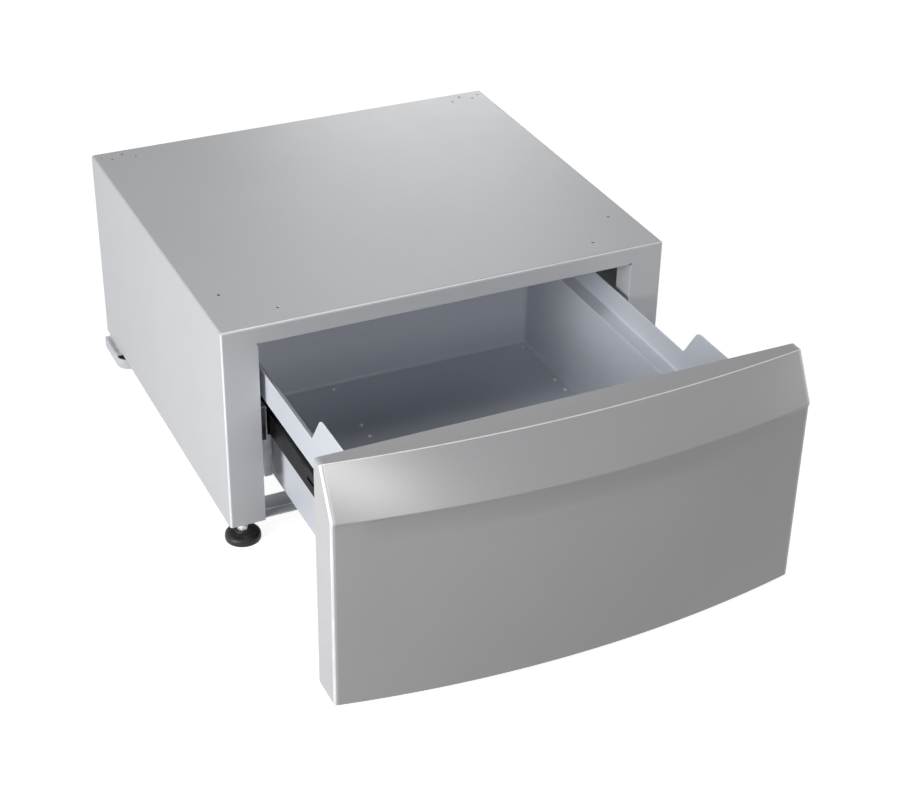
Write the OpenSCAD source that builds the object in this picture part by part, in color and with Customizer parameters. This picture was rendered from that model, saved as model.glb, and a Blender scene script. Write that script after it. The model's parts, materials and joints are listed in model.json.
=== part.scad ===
// Laundry pedestal with a storage drawer, shown with the drawer part-way open.
// X runs to the right, Y to the back, Z up. The floor is z = 0.
// Sub-parts are drawn with y = 0 on the cabinet's front face and set back by frame_y.

/* [Cabinet] */
// Width of the cabinet
cab_w = 686; // [600:2:760]
// Depth of the cabinet, front face to back panel
cab_d = 621; // [600:1:680]
// Height of the folded body, without its feet
body_h = 320; // [300:1:360]
// Height that the feet hold the body off the floor
foot_h = 40; // [36:1:44]
// Thickness of the body's sheet steel
sheet = 1.2; // [0.8:0.1:1.6]
// Outside radius of the body's bends
bend_r = 4; // [3:0.5:8]
// Width of each front stile
stile_w = 53; // [50:1:60]
// Height of the front rail over the opening
rail_h = 27; // [22:1:32]
// Depth of the flange behind each stile
stile_return = 38; // [25:1:45]

/* [Drawer position] */
// Gap from the cabinet's front face to the back of the drawer front
drawer_open = 340.5; // [200:0.5:480]

/* [Drawer front] */
// Height of the drawer front's top over the cabinet's deck
front_rise = 9.7; // [0:0.1:14]
// Height of the drawer front
front_h = 350; // [330:1:355]
// Depth of the flat top at mid width
top_mid = 42.7; // [36:0.1:48]
// How far the top edge falls back from mid width to each end
top_sag = 25.7; // [15:0.1:30]
// Depth of the ridge at mid width
ridge_mid = 90.5; // [84:0.1:98]
// How far the ridge falls back from mid width to each end
ridge_sag = 38.3; // [25:0.1:45]
// Depth of the lower face at mid width
face_mid = 84.7; // [78:0.1:90]
// How far the lower face falls back from mid width to each end
face_sag = 34.8; // [25:0.1:42]
// Drop from the top to the ridge
ridge_drop = 65.5; // [55:0.5:75]
// Depth of the finger recess at mid width
recess_deep = 14; // [8:0.5:20]
// Half the width over which the finger recess fades out
recess_half = 300; // [200:1:320]

/* [Drawer bin] */
// Half the clear width between the tray's walls
tray_half = 255.8; // [230:0.1:256]
// Clear length of the bin, front wall to rear wall
tray_len = 597.3; // [500:0.1:600]
// Height of the bin floor's top face over the ground
floor_z = 73.2; // [71:0.1:90]
// Height of the side ledges over the ground
ledge_z = 243; // [225:1:250]
// Height of the bin's rim over the ground
rim_z = 280.5; // [260:0.5:290]
// Height of the raised front part of the rim
ear_z = 328; // [300:1:329]
// Half the width over the raised rims
rim_half = 281.2; // [278:0.1:284]

/* [Slides] */
// Length of each slide member
slide_len = 560; // [450:1:570]
// Height of the slides' centre line over the ground
slide_z = 179; // [170:1:200]
// Travel of the drawer from closed to the pose drawn here
closing_travel = 338.5; // [190:0.5:478]

/* [Feet] */
// Radius of each foot pad
pad_r = 26.5; // [20:0.5:28]
// Radius of each levelling stud
stud_r = 5; // [4:0.5:6]

/* [Hidden] */
$fn = 48;

top_z = foot_h + body_h;
half_w = cab_w / 2;
open_half = half_w - stile_w;
open_top = top_z - rail_h;
front_top = top_z + front_rise;
front_foot = front_top - front_h;
tiny = 0.01;

// ---------------------------------------------------------------- helpers
function unit(v) = v / norm(v);

// Points that round the corner at b between a and c, with radius r.
function rounded(a, b, c, r, n = 4) =
    let (
        u = unit(a - b), v = unit(c - b),
        half = acos(max(-1, min(1, u * v))) / 2,
        back = r / tan(half),
        mid = b + unit(u + v) * r / sin(half),
        from = b + u * back - mid,
        to = b + v * back - mid
    )
    [for (k = [0:n]) mid + r * unit(from * (1 - k / n) + to * k / n)];

// A path with its inner corners rounded.
function rounded_path(points, r, n = 4) =
    let (last = len(points) - 1)
    concat(
        [points[0]],
        [for (k = [1:last - 1]) each rounded(points[k - 1], points[k], points[k + 1], r, n)],
        [points[last]]
    );

function left_of(v) = [-v[1], v[0]];

// The path moved sideways by d, to its left when d is positive.
function moved(path, d) =
    let (last = len(path) - 1)
    [for (k = [0:last])
        let (
            before = unit(path[max(k, 1)] - path[max(k, 1) - 1]),
            after = unit(path[min(k + 1, last)] - path[min(k + 1, last) - 1]),
            side = unit(left_of(before) + left_of(after))
        )
        path[k] + side * d / (side * left_of(after))];

function backwards(path) = [for (k = [len(path) - 1:-1:0]) path[k]];

// The outline of sheet metal of thickness t that follows a path on its right side.
function sheet_outline(path, t) = concat(path, backwards(moved(path, -t)));

// Skins closed rings of points into one solid. Thin rings run out along a sheet's
// outer face and back along its inner face, so their ends are strips of quads.
module loft(rings, thin = false) {
    n = len(rings[0]);
    last = len(rings) - 1;
    sides = [for (i = [0:last - 1]) for (j = [0:n - 1])
        let (a = i * n + j, b = i * n + (j + 1) % n)
        each [[a, b, a + n], [b, b + n, a + n]]];
    whole = [[for (j = [n - 1:-1:0]) j], [for (j = [0:n - 1]) last * n + j]];
    strips = [for (j = [0:n / 2 - 2])
        let (a = n - 1 - j, end = last * n)
        each [[j, a, j + 1], [j + 1, a, a - 1],
              [end + j, end + j + 1, end + a], [end + j + 1, end + a - 1, end + a]]];
    polyhedron([for (ring = rings) each ring], concat(sides, thin ? strips : whole), convexity = 8);
}

// A box from one corner to the other.
module span_box(low, high) {
    translate(low) cube(high - low);
}

// Runs a shape drawn with x across and y up along the part's Y axis.
module along_y(from, to) {
    translate([0, to, 0]) rotate([90, 0, 0]) linear_extrude(to - from) children();
}

// Runs a shape drawn with x back and y up along the part's X axis.
module along_x(from, to) {
    translate([from, 0, 0]) rotate([90, 0, 90]) linear_extrude(to - from) children();
}

// Puts a sub-part, drawn from the cabinet's front face, into the part's frame.
module in_place() {
    translate([0, frame_y, 0]) children();
}

// Draws the right-hand sub-part as it is, or mirrored for the left.
module on_side(side) {
    if (side > 0) children();
    else mirror([1, 0, 0]) children();
}

// A rectangle with all four corners rounded.
module round_rect(x0, y0, x1, y1, r) {
    translate([x0 + r, y0]) square([x1 - x0 - 2 * r, y1 - y0]);
    translate([x0, y0 + r]) square([x1 - x0, y1 - y0 - 2 * r]);
    for (x = [x0 + r, x1 - r]) for (y = [y0 + r, y1 - r]) translate([x, y]) circle(r);
}

// A pan-head screw's head, on its seat at z = 0.
module screw_head(head_r, head_h) {
    cylinder(r1 = head_r, r2 = head_r * 0.7, h = head_h);
}

// ---------------------------------------------------------------- cabinet
flange = 16;
back_y = cab_d - sheet;
relief_r = 2.2;

// Holes in the deck on each side of the middle: distance out, distance back, radius.
deck_holes = [
    [246, 39, 2.6], [308.5, 104.4, 2.6],
    [278, 592, 2.1], [297, 606, 2.4], [316, 594, 2.4], [330, 604, 2.1]
];

// The body's outer or inner form, with rounded bends at its top and its front corners.
module body_form(inset, bottom) {
    r = bend_r - inset;
    far = cab_d + bend_r * 4;
    intersection() {
        along_y(-far, far) round_rect(-half_w + inset, bottom - far, half_w - inset, top_z - inset, r);
        translate([0, 0, -far]) linear_extrude(3 * far)
            round_rect(-half_w + inset, inset, half_w - inset, 2 * far, r);
        along_x(-far, far) round_rect(inset, bottom - far, 2 * far, top_z - inset, r);
        span_box([-half_w, 0, bottom], [half_w, back_y - inset, top_z]);
    }
}

module cabinet_shell() {
    color([0.72, 0.73, 0.75])
    difference() {
        union() {
            difference() {
                body_form(0, foot_h);
                difference() {
                    body_form(sheet, foot_h - 1);
                    // Turned-in bottom edges of the side walls.
                    span_box([-half_w, 0, foot_h - 2], [-half_w + flange, cab_d, foot_h + sheet]);
                    span_box([half_w - flange, 0, foot_h - 2], [half_w, cab_d, foot_h + sheet]);
                }
                // Open back, inside the flanges that the back panel is screwed to.
                span_box([-half_w + flange, back_y - 2 * sheet, foot_h - 1],
                         [half_w - flange, back_y + 1, top_z - flange]);
                // Drawer opening.
                span_box([-open_half, -1, foot_h - 1], [open_half, sheet + 1, open_top]);
            }
            for (side = [-1, 1]) on_side(side)
                span_box([open_half, sheet / 2, foot_h], [open_half + sheet, stile_return, open_top - 3]);
            span_box([-open_half + 3, sheet / 2, open_top], [open_half - 3, flange, open_top + sheet]);
        }
        // Relief holes where the flanges of the stiles and the rail meet.
        for (x = [-open_half, open_half])
            translate([x, -1, open_top]) rotate([-90, 0, 0]) cylinder(r = relief_r, h = 2 * sheet + 1);
        for (hole = deck_holes) for (side = [-1, 1])
            translate([side * hole[0], hole[1], top_z - 2 * sheet]) cylinder(r = hole[2], h = 4 * sheet);
    }
}

panel_edge = 4;
panel_screw_z = [foot_h + 40, foot_h + body_h / 2, top_z - 45];

module back_panel() {
    bead_h = 8;
    color([0.66, 0.67, 0.69])
    difference() {
        union() {
            span_box([-half_w + panel_edge, back_y, foot_h + panel_edge],
                     [half_w - panel_edge, cab_d, top_z - panel_edge]);
            // Pressed beads that stiffen the panel, standing inwards.
            for (z = [foot_h + 90, foot_h + 160, foot_h + 230])
                along_x(-half_w + 60, half_w - 60)
                    polygon([[back_y + tiny, z - bead_h], [back_y - 4, z - bead_h / 2],
                             [back_y - 4, z + bead_h / 2], [back_y + tiny, z + bead_h]]);
        }
        for (z = [foot_h + 90, foot_h + 160, foot_h + 230])
            along_x(-half_w + 62, half_w - 62)
                polygon([[cab_d + tiny, z - bead_h], [back_y - 2.8, z - bead_h / 2 + 0.6],
                         [back_y - 2.8, z + bead_h / 2 - 0.6], [cab_d + tiny, z + bead_h]]);
    }
}

panel_screw_h = 2.2;

module back_panel_screws() {
    color([0.75, 0.75, 0.77])
    for (side = [-1, 1]) for (z = panel_screw_z)
        translate([side * (half_w - flange / 2 - 2), cab_d, z]) rotate([-90, 0, 0])
            screw_head(4, panel_screw_h);
}

// How far pieces inside the body stay from its outer faces, to clear its bends.
clear_of_bend = bend_r + 0.5;

// A shallow hat section that is welded under the deck, between the bends of the side walls.
module deck_stiffener(y) {
    hat_w = 30;
    hat_h = 14;
    path = rounded_path([[-hat_w, 0], [-hat_w / 2, 0], [-hat_w / 2 + 3, -hat_h],
                         [hat_w / 2 - 3, -hat_h], [hat_w / 2, 0], [hat_w, 0]], 1.5, 2);
    color([0.6, 0.61, 0.63])
    along_x(-half_w + clear_of_bend, half_w - clear_of_bend)
        translate([y, top_z - sheet]) polygon(sheet_outline(path, sheet));
}

bar_top = 67;
bar_foot = 44;
bar_lip = 20;

// The angle bar between the stiles at the foot of the opening, its lip to the front.
module front_crossbar() {
    color([0.45, 0.46, 0.48])
    along_x(-open_half, open_half)
        polygon(sheet_outline(rounded_path([[2, bar_foot], [bar_lip, bar_foot],
            [bar_lip, bar_top]], 2.5, 3), 1.5));
}

module rear_crossbar() {
    y = foot_y[1] - 57;
    color([0.45, 0.46, 0.48])
    along_x(-half_w + sheet, half_w - sheet)
        polygon(sheet_outline(rounded_path([[y - 14, bar_foot], [y, bar_foot], [y, bar_top],
            [y + 14, bar_top]], 2.5, 3), 1.5));
}

// ---------------------------------------------------------------- slide brackets
slide_t = 12.7;
slide_h = 45.6;
slide_in = tray_half + sheet;
slide_out = slide_in + slide_t;
slide_front = 6;
cabinet_slide_front = 40;
bracket_t = 1.5;
bracket_front = stile_return - 2;
bracket_top = slide_z + slide_h / 2 + 6;
bracket_foot = slide_z - slide_h / 2 - 6;

leg_front = 50;
leg_deep = 60;
leg_foot = 79;

// A channel that carries the cabinet slide, from the stile's flange to the back.
module slide_bracket(side) {
    web = slide_out;
    deep = open_half - web;
    path = rounded_path([[web + deep, bracket_foot], [web, bracket_foot],
                         [web, bracket_top], [web + deep, bracket_top]], 2, 3);
    color([0.5, 0.51, 0.53])
    on_side(side) {
        along_y(bracket_front, back_y - 4) polygon(sheet_outline(path, bracket_t));
        // Tabs that are welded to the side wall, near the back.
        for (z = [bracket_foot, bracket_top - bracket_t])
            span_box([web + deep - bracket_t, back_y - 60, z],
                     [half_w - sheet, back_y - 30, z + bracket_t]);
        // A leg below the web, with its front edge turned in towards the drawer.
        span_box([web, leg_front, leg_foot],
                 [web + bracket_t, leg_front + leg_deep, bracket_foot + 2 * bracket_t]);
        span_box([slide_in + 2.5, leg_front, leg_foot],
                 [web + bracket_t, leg_front + bracket_t, bracket_foot]);
    }
}

// ---------------------------------------------------------------- feet
foot_x = half_w - 26.5;
foot_y = [27, cab_d - 30];
plate_t = 3;
nut_h = 8;
nut_flat = 17;
thread_gap = 0.05;

// Distance from a hexagon's centre to its corners, from its width over flats.
function hex_r(flat) = flat / 2 / cos(30);

// The thick plate in each bottom corner that takes the foot's thread.
module foot_plate(side, y) {
    low = min(max(y - 29, clear_of_bend), back_y - 2 * sheet - 62);
    color([0.5, 0.51, 0.53])
    on_side(side)
        difference() {
            span_box([open_half + sheet, low, foot_h + sheet],
                     [half_w - sheet, low + 60, foot_h + sheet + plate_t]);
            translate([foot_x, y, foot_h]) cylinder(r = stud_r + 0.6, h = 3 * plate_t);
        }
}

module hex_nut(z) {
    translate([0, 0, z])
        difference() {
            cylinder(r = hex_r(nut_flat), h = nut_h, $fn = 6);
            translate([0, 0, -1]) cylinder(r = stud_r + thread_gap, h = nut_h + 2);
        }
}

module foot_weld_nuts() {
    color([0.7, 0.7, 0.72])
    for (side = [-1, 1]) for (y = foot_y)
        translate([side * foot_x, y, 0]) hex_nut(foot_h + sheet + plate_t);
}

module foot_lock_nuts() {
    color([0.78, 0.78, 0.8])
    for (side = [-1, 1]) for (y = foot_y)
        translate([side * foot_x, y, 0]) hex_nut(foot_h + sheet - nut_h);
}

pad_h = 16;
stud_foot = 8;

module foot_pad(side, y) {
    color([0.08, 0.08, 0.09])
    translate([side * foot_x, y, 0])
        rotate_extrude($fn = 64)
            polygon([[0, 0], [pad_r - 1.5, 0], [pad_r - 0.4, 0.4], [pad_r, 1.5], [pad_r, 6],
                     [pad_r - 0.7, 8.6], [pad_r - 2.6, 10.8], [pad_r - 6, 12.4], [16, 13.2],
                     [12.5, 13.4], [11.5, 14], [11, pad_h],
                     [stud_r + thread_gap, pad_h], [stud_r + thread_gap, stud_foot],
                     [0, stud_foot]]);
}

module foot_stud(side, y) {
    color([0.75, 0.76, 0.78])
    translate([side * foot_x, y, stud_foot]) {
        cylinder(r = stud_r, h = 82);
        translate([0, 0, pad_h - stud_foot]) cylinder(r = hex_r(14), h = 5, $fn = 6);
    }
}

// The stepped steel bracket under each rear corner, whose lip stands proud of the side.
module rear_bracket(side) {
    lip_x = half_w + 6.7;
    lip_y = 545;
    lip_foot = 14;
    lip_top = foot_h - 7;
    t = 1.5;
    turn = 20;
    path = rounded_path([[half_w - 17, foot_h], [half_w - 2, foot_h], [half_w - 2, lip_top],
                         [lip_x, lip_top], [lip_x, lip_foot]], 1.6, 3);
    color([0.62, 0.63, 0.66])
    on_side(side) {
        along_y(lip_y, cab_d - 7) polygon(sheet_outline(path, t));
        // The lip's front end curls inwards.
        translate([lip_x - turn, lip_y + tiny, lip_foot])
            intersection() {
                difference() {
                    cylinder(r = turn, h = lip_top - lip_foot - 2);
                    translate([0, 0, -1]) cylinder(r = turn - t, h = lip_top);
                }
                span_box([0, -turn, 0], [turn, 0, lip_top]);
            }
    }
}

// ---------------------------------------------------------------- slides
// Each member is drawn for the right side in [out, up] from the tray wall and the centre line.
member_t = 1.2;
outer_ball = [6.6, 19.55];
outer_ball_r = 2.05;
inner_ball = [5.2, 14.45];
inner_ball_r = 1.8;
ball_gap = 0.3;
cage_t = 0.5;
cage_len = 200;
balls_in_row = 8;
ball_pitch = 26;

// A channel section: its web stands from web_in to web_out, its flanges reach in to lip.
module channel(web_in, web_out, lip, half_in, half_out) {
    difference() {
        translate([lip, -half_out]) square([web_out - lip, 2 * half_out]);
        translate([lip - 1, -half_in]) square([web_in - lip + 1, 2 * half_in]);
    }
}

module groove(centre, r) {
    for (up = [-1, 1]) translate([centre[0], up * centre[1]]) circle(r);
}

// Runs a slide section from one y to another, on one side of the drawer.
module slide_run(side, from, to) {
    on_side(side) along_y(from, to) translate([slide_in, slide_z]) children();
}

module cabinet_slide(side) {
    color([0.07, 0.07, 0.08])
    slide_run(side, cabinet_slide_front, cabinet_slide_front + slide_len)
        difference() {
            channel(slide_t - 1.3, slide_t, 3.2, 21.6, slide_h / 2);
            groove(outer_ball, outer_ball_r + ball_gap);
        }
}

module middle_slide(side) {
    from = slide_front - closing_travel / 2;
    color([0.09, 0.09, 0.1])
    difference() {
        slide_run(side, from, from + slide_len)
            difference() {
                channel(9, 9 + member_t, 2.6, 16.3, 17.5);
                groove(outer_ball, outer_ball_r + ball_gap);
                groove(inner_ball, inner_ball_r + ball_gap);
            }
        // Access slots for the fixing screws.
        on_side(side) for (y = [from + 24, from + 250, from + 480])
            span_box([slide_in + 8, y, slide_z - 3], [slide_in + 11, y + 26, slide_z + 3]);
        // A slot through the upper race, near the front.
        on_side(side)
            span_box([slide_in + 8, from + 52, slide_z + 13], [slide_in + 11, from + 74, slide_z + 14.6]);
    }
}

module drawer_slide(side) {
    from = slide_front - closing_travel;
    color([0.09, 0.09, 0.1])
    slide_run(side, from, from + slide_len)
        difference() {
            translate([7.8, 0]) mirror([1, 0]) channel(7.8 - member_t, 7.8, 0, 11.4, 12.6);
            groove(inner_ball, inner_ball_r + ball_gap);
        }
}

// The cage that spaces one set of balls, between two members.
module ball_cage(side, y, ball, ball_r, web_in, lip) {
    color([0.7, 0.68, 0.6])
    difference() {
        slide_run(side, y, y + cage_len)
            channel(web_in, web_in + cage_t, lip, ball[1] - cage_t / 2, ball[1] + cage_t / 2);
        on_side(side) ball_places(y, ball)
            cylinder(r = ball_r + ball_gap, h = 4 * cage_t, center = true);
    }
}

// Puts a shape at each ball of one cage, for the right side.
module ball_places(y, ball) {
    for (k = [0:balls_in_row - 1]) for (up = [-1, 1])
        translate([slide_in + ball[0], y + 9 + k * ball_pitch, slide_z + up * ball[1]]) children();
}

module balls(side, y, ball, ball_r) {
    color([0.85, 0.86, 0.88])
    on_side(side) ball_places(y, ball) sphere(r = ball_r, $fn = 16);
}

// Places of the cages in the pose drawn here: they roll at half their members' speed.
outer_cage_y = 230 - closing_travel / 4;
inner_cage_y = 190 - closing_travel * 3 / 4;

// Distances of the fixing screws from the front end of the member that they hold.
slide_screw_at = [34, 274, 514];

module slide_bracket_screws() {
    color([0.75, 0.75, 0.77])
    for (side = [-1, 1]) on_side(side) for (at = slide_screw_at)
        translate([slide_out + bracket_t, cabinet_slide_front + at, slide_z]) rotate([0, 90, 0])
            screw_head(4, 2);
}

module drawer_slide_screws() {
    from = slide_front - closing_travel;
    color([0.75, 0.75, 0.77])
    for (side = [-1, 1]) on_side(side) for (at = slide_screw_at)
        translate([slide_in + member_t, from + at, slide_z]) rotate([0, 90, 0])
            screw_head(4, 2);
}

// ---------------------------------------------------------------- drawer bin
front_y = -drawer_open;
bin_front = front_y + sheet;
bin_back = bin_front + tray_len;
tray_corner = 8;
tray_fold = 5;

// The tray's outer or inner form: its floor edges and rear corners are rounded.
module tray_form(grow) {
    half = tray_half + grow;
    back = bin_back + grow;
    foot = floor_z - grow;
    fold = tray_fold + grow;
    corner = tray_corner + grow;
    start = bin_front - 20;
    // Walls over the folds.
    translate([0, 0, foot + fold]) linear_extrude(ledge_z - foot - fold)
        round_rect(-half, start, half, back, corner);
    // Floor inside the folds.
    translate([0, 0, foot]) linear_extrude(fold + tiny)
        round_rect(-half + fold, start + fold, half - fold, back - fold, corner - fold);
    for (side = [-1, 1]) {
        translate([side * (half - fold), back - corner, foot + fold]) rotate([90, 0, 0])
            cylinder(r = fold, h = back - corner - start - corner);
        translate([side * (half - corner), back - corner, foot + fold])
            rotate_extrude() translate([corner - fold, 0]) intersection() {
                circle(fold);
                translate([0, -fold]) square([fold, 2 * fold]);
            }
    }
    translate([-half + corner, back - fold, foot + fold]) rotate([0, 90, 0])
        cylinder(r = fold, h = 2 * (half - corner));
}

module bin_tray() {
    color([0.62, 0.64, 0.67]) {
        intersection() {
            difference() {
                tray_form(sheet);
                tray_form(0);
            }
            span_box([-half_w, bin_front, 0], [half_w, cab_d, ledge_z - sheet]);
        }
        // The rear wall stands up to the rim.
        span_box([-tray_half + tray_corner, bin_back, ledge_z - 2 * sheet],
                 [tray_half - tray_corner, bin_back + sheet, rim_z]);
    }
}

ear_back = 167.8;
ear_run = 32;
rim_foot = ledge_z - 7.6;

// The stepped rim on one side: the ledge over the slide, the upper wall and the raised ear.
module bin_rim(side) {
    wall = rim_half - sheet;
    path = rounded_path([[tray_half, ledge_z], [wall, ledge_z], [wall, rim_z]], 3, 4);
    ear = concat(
        [[bin_front, rim_z - 1], [bin_front, ear_z]],
        rounded([bin_front, ear_z], [front_y + ear_back - ear_run, ear_z],
                [front_y + ear_back, rim_z], 18, 5),
        [[front_y + ear_back, rim_z], [front_y + ear_back, rim_z - 1]]);
    color([0.66, 0.68, 0.71])
    on_side(side) {
        along_y(bin_front, bin_back) polygon(sheet_outline(path, sheet));
        along_x(wall, rim_half) polygon(ear);
        // The upper wall's foot, below the ledge.
        span_box([wall, bin_front, rim_foot], [rim_half, bin_back, ledge_z + 4]);
        // Rear corner tab that joins the rim to the rear wall.
        span_box([tray_half - tray_corner, bin_back, ledge_z - sheet], [rim_half, bin_back + sheet, rim_z]);
    }
}

module bin_front_wall() {
    color([0.62, 0.64, 0.67]) {
        span_box([-tray_half + 6, front_y, floor_z - sheet], [tray_half - 6, bin_front, ledge_z]);
        span_box([-rim_half, front_y, ledge_z], [rim_half, bin_front, ear_z]);
    }
}

// Rivets through the floor: distance back from the drawer front for each row.
rivet_rows = [437.5, 470.5, 582.5];
stiffener_x = -86.5;
edge_rivet_x = 246;

module floor_rivets() {
    color([0.85, 0.86, 0.88])
    for (x = [-edge_rivet_x, stiffener_x, edge_rivet_x]) for (row = rivet_rows)
        translate([x, front_y + row, floor_z])
            rotate_extrude($fn = 32) polygon([[0, 0], [3.4, 0], [3.1, 0.9], [2.2, 1.7], [0, 2]]);
}

// A low hat section under the floor, front to back.
module floor_stiffener() {
    path = [[stiffener_x - 22, 0], [stiffener_x - 11, 0], [stiffener_x - 9, -3],
            [stiffener_x + 9, -3], [stiffener_x + 11, 0], [stiffener_x + 22, 0]];
    color([0.55, 0.56, 0.58])
    along_y(bin_front + 30, bin_back - 8)
        translate([0, floor_z - sheet]) polygon(sheet_outline(path, 0.8));
}

// ---------------------------------------------------------------- drawer front
skin_t = 1.5;
cap_t = 5.75;
skin_half = half_w - cap_t;
ridge_z = front_top - ridge_drop;
scoop_top = ridge_z - 5;
scoop_foot = ridge_z - 47;
scoop_steps = 6;

// How far a bow of a given sag has fallen back at x.
function bow(x, sag) =
    let (r = (half_w * half_w + sag * sag) / (2 * sag))
    r - sqrt(r * r - x * x);

function scoop_depth(x) = recess_deep * max(0, 1 - pow(x / recess_half, 2));

// The front's section at x, from the top at the back round to the foot, as [forward, up].
function front_section(x) =
    let (
        edge = [top_mid - bow(x, top_sag), front_top],
        ridge = [ridge_mid - bow(x, ridge_sag), ridge_z],
        face = face_mid - bow(x, face_sag),
        deep = scoop_depth(x),
        under = [face - deep, scoop_top],
        scoop = [for (k = [1:scoop_steps])
            let (t = k / scoop_steps)
            [face - deep * (1 - pow(t, 1.7)), scoop_top + (scoop_foot - scoop_top) * t]],
        foot = [face, front_foot]
    )
    concat(
        [[0, front_top]],
        rounded([0, front_top], edge, ridge, 2.5, 3),
        rounded(edge, ridge, under, 2, 4),
        [under],
        scoop,
        rounded(scoop[scoop_steps - 1], foot, [0, front_foot], 1.5, 3),
        [[0, front_foot]]
    );

// The whole part's middle, front to back, goes to y = 0.
front_reach = max([for (p = front_section(0)) p[0]]);
frame_y = (drawer_open + front_reach - cab_d - panel_screw_h) / 2;

// Turns a section's points into points in space at x.
function at_x(x, section) = [for (p = section) [x, front_y - p[0], p[1]]];

// The section drawn in by d all round but not at its back.
function drawn_in(section, d) =
    [for (p = moved(section, -d)) [max(0, p[0]), p[1]]];

function skin_ring(x) =
    let (section = front_section(x))
    at_x(x, concat(section, backwards(drawn_in(section, skin_t))));

skin_steps = 36;

module drawer_front_skin() {
    color([0.7, 0.7, 0.71])
    loft([for (k = [0:skin_steps]) skin_ring(-skin_half + 2 * skin_half * k / skin_steps)], true);
}

cap_round = 4;
cap_steps = 5;

module end_cap(side) {
    straight = cap_t - cap_round;
    color([0.8, 0.8, 0.79])
    on_side(side)
        loft(concat(
            [at_x(skin_half, front_section(skin_half))],
            [for (k = [0:cap_steps])
                let (a = 90 * k / cap_steps, x = skin_half + straight + cap_round * sin(a))
                at_x(x, drawn_in(front_section(x), cap_round * (1 - cos(a))))]
        ));
}

module drawer_front_back_plate() {
    color([0.62, 0.63, 0.65])
    span_box([-skin_half, front_y - sheet, front_foot + skin_t],
             [skin_half, front_y, front_top - skin_t]);
}

stiffener_at = 205;

// A channel inside the drawer front that takes the screws of the bin.
module front_stiffener(side) {
    deep = 34;
    path = [[stiffener_at - 20, 0], [stiffener_at - 20, deep], [stiffener_at + 20, deep],
            [stiffener_at + 20, 0]];
    color([0.5, 0.51, 0.53])
    on_side(side)
        translate([0, front_y - sheet, front_foot + 20]) linear_extrude(250)
            mirror([0, 1]) polygon(sheet_outline(rounded_path(path, 2, 2), 1.5));
}

front_screw_z = [110, 170, 230, 300];

module drawer_front_screws() {
    color([0.75, 0.75, 0.77])
    for (side = [-1, 1]) for (z = front_screw_z)
        translate([side * stiffener_at, bin_front, z]) rotate([-90, 0, 0]) screw_head(4.5, 2.4);
}

module drawer_bumpers() {
    color([0.1, 0.1, 0.11])
    for (side = [-1, 1]) for (z = [front_foot + 55, front_top - 26])
        translate([side * (half_w - 24), front_y, z]) rotate([-90, 0, 0])
            cylinder(r1 = 6, r2 = 4.5, h = 1.6);
}

in_place() cabinet_shell();
in_place() back_panel();
in_place() deck_stiffener(190);  // deck_stiffener_front
in_place() deck_stiffener(430);  // deck_stiffener_rear
in_place() front_crossbar();
in_place() rear_crossbar();
in_place() slide_bracket(-1);  // left_slide_bracket
in_place() slide_bracket(1);  // right_slide_bracket
in_place() foot_plate(-1, foot_y[0]);  // front_left_foot_plate
in_place() foot_plate(1, foot_y[0]);  // front_right_foot_plate
in_place() foot_plate(-1, foot_y[1]);  // rear_left_foot_plate
in_place() foot_plate(1, foot_y[1]);  // rear_right_foot_plate
in_place() rear_bracket(-1);  // left_rear_bracket
in_place() rear_bracket(1);  // right_rear_bracket
in_place() back_panel_screws();
in_place() foot_weld_nuts();
in_place() foot_lock_nuts();
in_place() foot_pad(-1, foot_y[0]);  // front_left_foot_pad
in_place() foot_pad(1, foot_y[0]);  // front_right_foot_pad
in_place() foot_pad(-1, foot_y[1]);  // rear_left_foot_pad
in_place() foot_pad(1, foot_y[1]);  // rear_right_foot_pad
in_place() foot_stud(-1, foot_y[0]);  // front_left_foot_stud
in_place() foot_stud(1, foot_y[0]);  // front_right_foot_stud
in_place() foot_stud(-1, foot_y[1]);  // rear_left_foot_stud
in_place() foot_stud(1, foot_y[1]);  // rear_right_foot_stud
in_place() cabinet_slide(-1);  // left_cabinet_slide
in_place() cabinet_slide(1);  // right_cabinet_slide
in_place() middle_slide(-1);  // left_middle_slide
in_place() middle_slide(1);  // right_middle_slide
in_place() drawer_slide(-1);  // left_drawer_slide
in_place() drawer_slide(1);  // right_drawer_slide
in_place() ball_cage(-1, outer_cage_y, outer_ball, outer_ball_r, 10.55, 3.8);  // left_outer_ball_cage
in_place() ball_cage(1, outer_cage_y, outer_ball, outer_ball_r, 10.55, 3.8);  // right_outer_ball_cage
in_place() ball_cage(-1, inner_cage_y, inner_ball, inner_ball_r, 8.15, 2.6);  // left_inner_ball_cage
in_place() ball_cage(1, inner_cage_y, inner_ball, inner_ball_r, 8.15, 2.6);  // right_inner_ball_cage
in_place() balls(-1, outer_cage_y, outer_ball, outer_ball_r);  // left_outer_balls
in_place() balls(1, outer_cage_y, outer_ball, outer_ball_r);  // right_outer_balls
in_place() balls(-1, inner_cage_y, inner_ball, inner_ball_r);  // left_inner_balls
in_place() balls(1, inner_cage_y, inner_ball, inner_ball_r);  // right_inner_balls
in_place() slide_bracket_screws();
in_place() drawer_slide_screws();
in_place() bin_tray();
in_place() bin_rim(-1);  // left_bin_rim
in_place() bin_rim(1);  // right_bin_rim
in_place() bin_front_wall();
in_place() floor_stiffener();
in_place() floor_rivets();
in_place() drawer_front_skin();
in_place() drawer_front_back_plate();
in_place() end_cap(-1);  // left_end_cap
in_place() end_cap(1);  // right_end_cap
in_place() front_stiffener(-1);  // left_front_stiffener
in_place() front_stiffener(1);  // right_front_stiffener
in_place() drawer_front_screws();
in_place() drawer_bumpers();
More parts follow.
